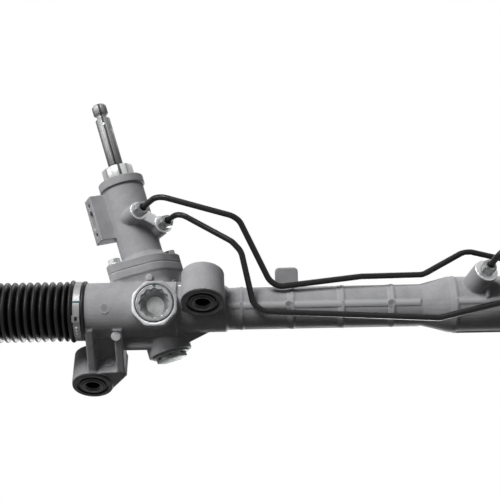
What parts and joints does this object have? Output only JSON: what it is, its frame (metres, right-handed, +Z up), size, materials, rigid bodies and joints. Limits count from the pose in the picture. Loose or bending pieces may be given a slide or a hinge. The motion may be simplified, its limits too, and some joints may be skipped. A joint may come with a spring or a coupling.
{
  "type": "rack and pinion steering gear",
  "caption": "Hydraulic rack-and-pinion steering gear: cast housing, leaning valve tower, power cylinder, transfer lines, bellows and tie rods.",
  "frame": {"origin": "on the axis of the front bush, at the lower end of its boss", "axes": "+Z up along the two mounting bolts, +X along the rack towards the power cylinder, +Y to the rear, away from the yoke side"},
  "size_m": [1.348, 0.1682, 0.2658],
  "materials": {
    "cast_aluminium": "as cast, slightly rough",
    "machined_steel": "turned and ground bright",
    "plain_steel": "plain machined",
    "zinc_plated_steel": "bright zinc plating",
    "black_coated_steel": "black coating, satin",
    "black_rubber": "moulded, satin",
    "bearing_plastic": "plain moulded",
    "bronze": "sintered, plain"
  },
  "bodies": {
    "housing": {"gear_housing": "cast_aluminium", "gallery_plug": "machined_steel", "valve_housing": "cast_aluminium", "housing_seal": "black_rubber", "housing_bolts": "zinc_plated_steel", "neck_collar": "machined_steel", "input_seal": "black_rubber", "seal_circlip": "plain_steel", "upper_valve_bearing": "plain_steel", "upper_pinion_bush": "bronze", "lower_bearing_outer": "plain_steel", "lower_bearing_balls": "machined_steel", "lower_plug": "zinc_plated_steel", "rack_seal": "black_rubber", "rack_bulkhead": "machined_steel", "bulkhead_seal": "black_rubber", "bulkhead_ring": "plain_steel", "rack_yoke": "cast_aluminium", "yoke_liner": "bearing_plastic", "yoke_seal": "black_rubber", "yoke_spring": "plain_steel", "yoke_plug": "zinc_plated_steel", "front_bush_rubber": "black_rubber", "front_bush_sleeve": "black_coated_steel", "rear_bush_rubber": "black_rubber", "rear_bush_sleeve": "black_coated_steel", "transfer_line_a": "black_coated_steel", "transfer_line_b": "black_coated_steel", "line_nuts": "zinc_plated_steel", "bellows_left": "black_rubber", "bellows_right": "black_rubber", "bellows_clamp_left": "plain_steel", "bellows_clamp_right": "plain_steel"},
    "rack": {"rack_bar": "machined_steel", "piston": "plain_steel", "piston_ring": "bearing_plastic", "ball_socket_left": "plain_steel", "ball_socket_right": "plain_steel", "ball_seat_left": "bearing_plastic", "ball_seat_right": "bearing_plastic"},
    "pinion": {"pinion": "plain_steel", "pinion_nut": "plain_steel", "lower_bearing_inner": "plain_steel", "valve_sleeve": "plain_steel", "sleeve_rings": "bearing_plastic", "sleeve_pin": "machined_steel"},
    "input": {"input_shaft": "machined_steel", "torsion_bar": "plain_steel", "torsion_pin": "machined_steel"},
    "tie_rod_left": {"tie_rod_left": "black_coated_steel", "jam_nut_left": "zinc_plated_steel", "rod_clip_left": "plain_steel"},
    "tie_rod_right": {"tie_rod_right": "black_coated_steel", "jam_nut_right": "zinc_plated_steel", "rod_clip_right": "plain_steel"}
  },
  "joints": [
    {"name": "rack_slide", "type": "slide", "parent": "housing", "child": "rack", "axis": [1, 0, 0], "range_m": [-0.073, 0.073], "deforming": ["bellows_left", "bellows_right"]},
    {"name": "pinion_spin", "type": "hinge", "parent": "housing", "child": "pinion", "pos_m": [-0.047, 0.05474, 0.02687], "axis": [-0.2756, -0.4062, 0.8712], "range_deg": [-460, 460]},
    {"name": "input_twist", "type": "hinge", "parent": "pinion", "child": "input", "pos_m": [-0.047, 0.05474, 0.02687], "axis": [-0.2756, -0.4062, 0.8712], "range_deg": [-4, 4], "stiffness_Nm_per_rad": 115},
    {"name": "tie_rod_left_swing", "type": "hinge", "parent": "rack", "child": "tie_rod_left", "pos_m": [-0.226, 0.04, 0.02], "axis": [0, 1, 0], "range_deg": [-18, 18], "deforming": ["bellows_left"]},
    {"name": "tie_rod_right_swing", "type": "hinge", "parent": "rack", "child": "tie_rod_right", "pos_m": [0.598, 0.04, 0.02], "axis": [0, 1, 0], "range_deg": [-18, 18], "deforming": ["bellows_right"]}
  ],
  "couplings": [
    {"joint": "pinion_spin", "follows": "rack_slide", "rad_per_m": 109.23}
  ]
}
